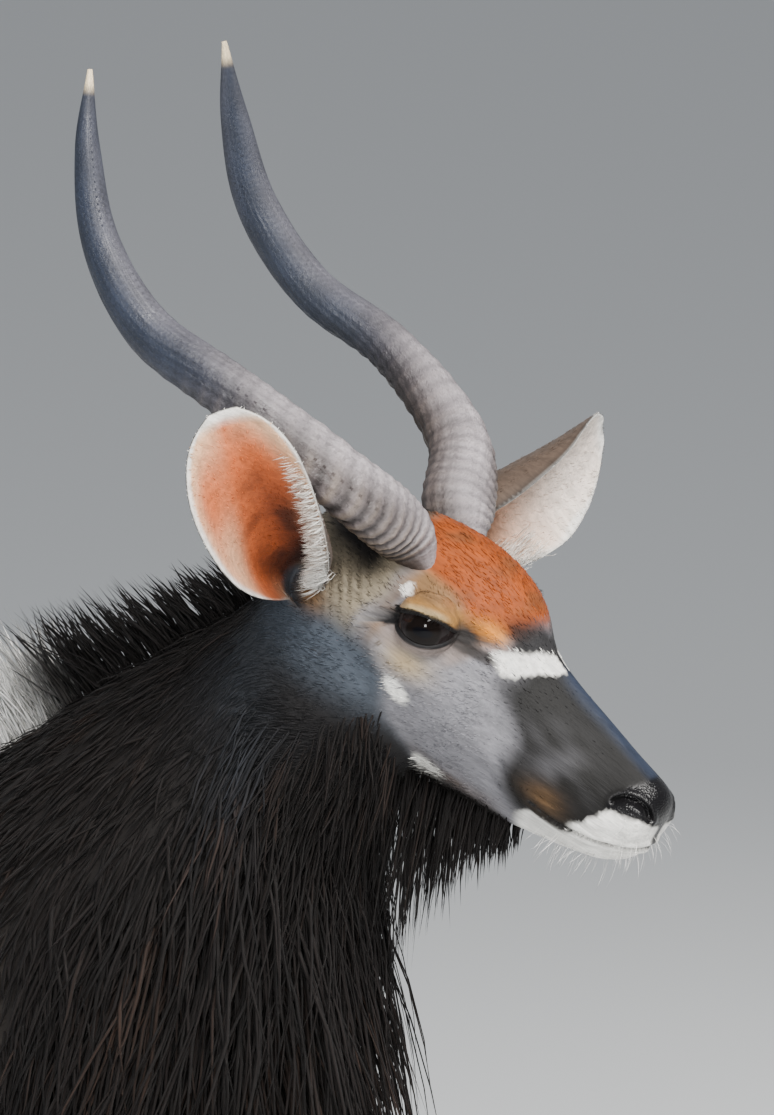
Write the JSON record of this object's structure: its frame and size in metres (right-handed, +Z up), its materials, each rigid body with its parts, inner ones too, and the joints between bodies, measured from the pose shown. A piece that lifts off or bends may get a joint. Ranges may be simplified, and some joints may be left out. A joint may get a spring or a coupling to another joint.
{
  "type": "standing antelope figure",
  "caption": "Life-size nyala bull standing square with its head turned left, spiral horns, long dark mane, upright back crest and belly fringe.",
  "frame": {"origin": "on the floor, under the middle of the whole animal's bounding box", "axes": "+X forwards along the trunk, +Y to the animal's left, +Z up"},
  "size_m": [1.5673, 0.4793, 1.5723],
  "materials": {
    "head": "short dense fur, rust above and grey-brown below",
    "neck": "long dark brown hair",
    "torso": "short grey-brown fur with long hair above and below",
    "tail": "bushy dark hair",
    "eye": "wet gloss",
    "ear": "thin skin with short fur",
    "horn": "keratin, ringed below and smooth above",
    "leg": "short tan fur",
    "claw": "keratin"
  },
  "bodies": {
    "root": {"head": "head", "neck": "neck", "torso": "torso", "tail": "tail", "eye_left": "eye", "eye_right": "eye", "ear_left": "ear", "ear_right": "ear", "horn_left": "horn", "horn_right": "horn", "foreleg_left": "leg", "foreleg_right": "leg", "hindleg_left": "leg", "hindleg_right": "leg", "claw_foreleg_left_inner": "claw", "claw_foreleg_left_outer": "claw", "claw_foreleg_right_inner": "claw", "claw_foreleg_right_outer": "claw", "claw_hindleg_left_inner": "claw", "claw_hindleg_left_outer": "claw", "claw_hindleg_right_inner": "claw", "claw_hindleg_right_outer": "claw"}
  },
  "joints": []
}
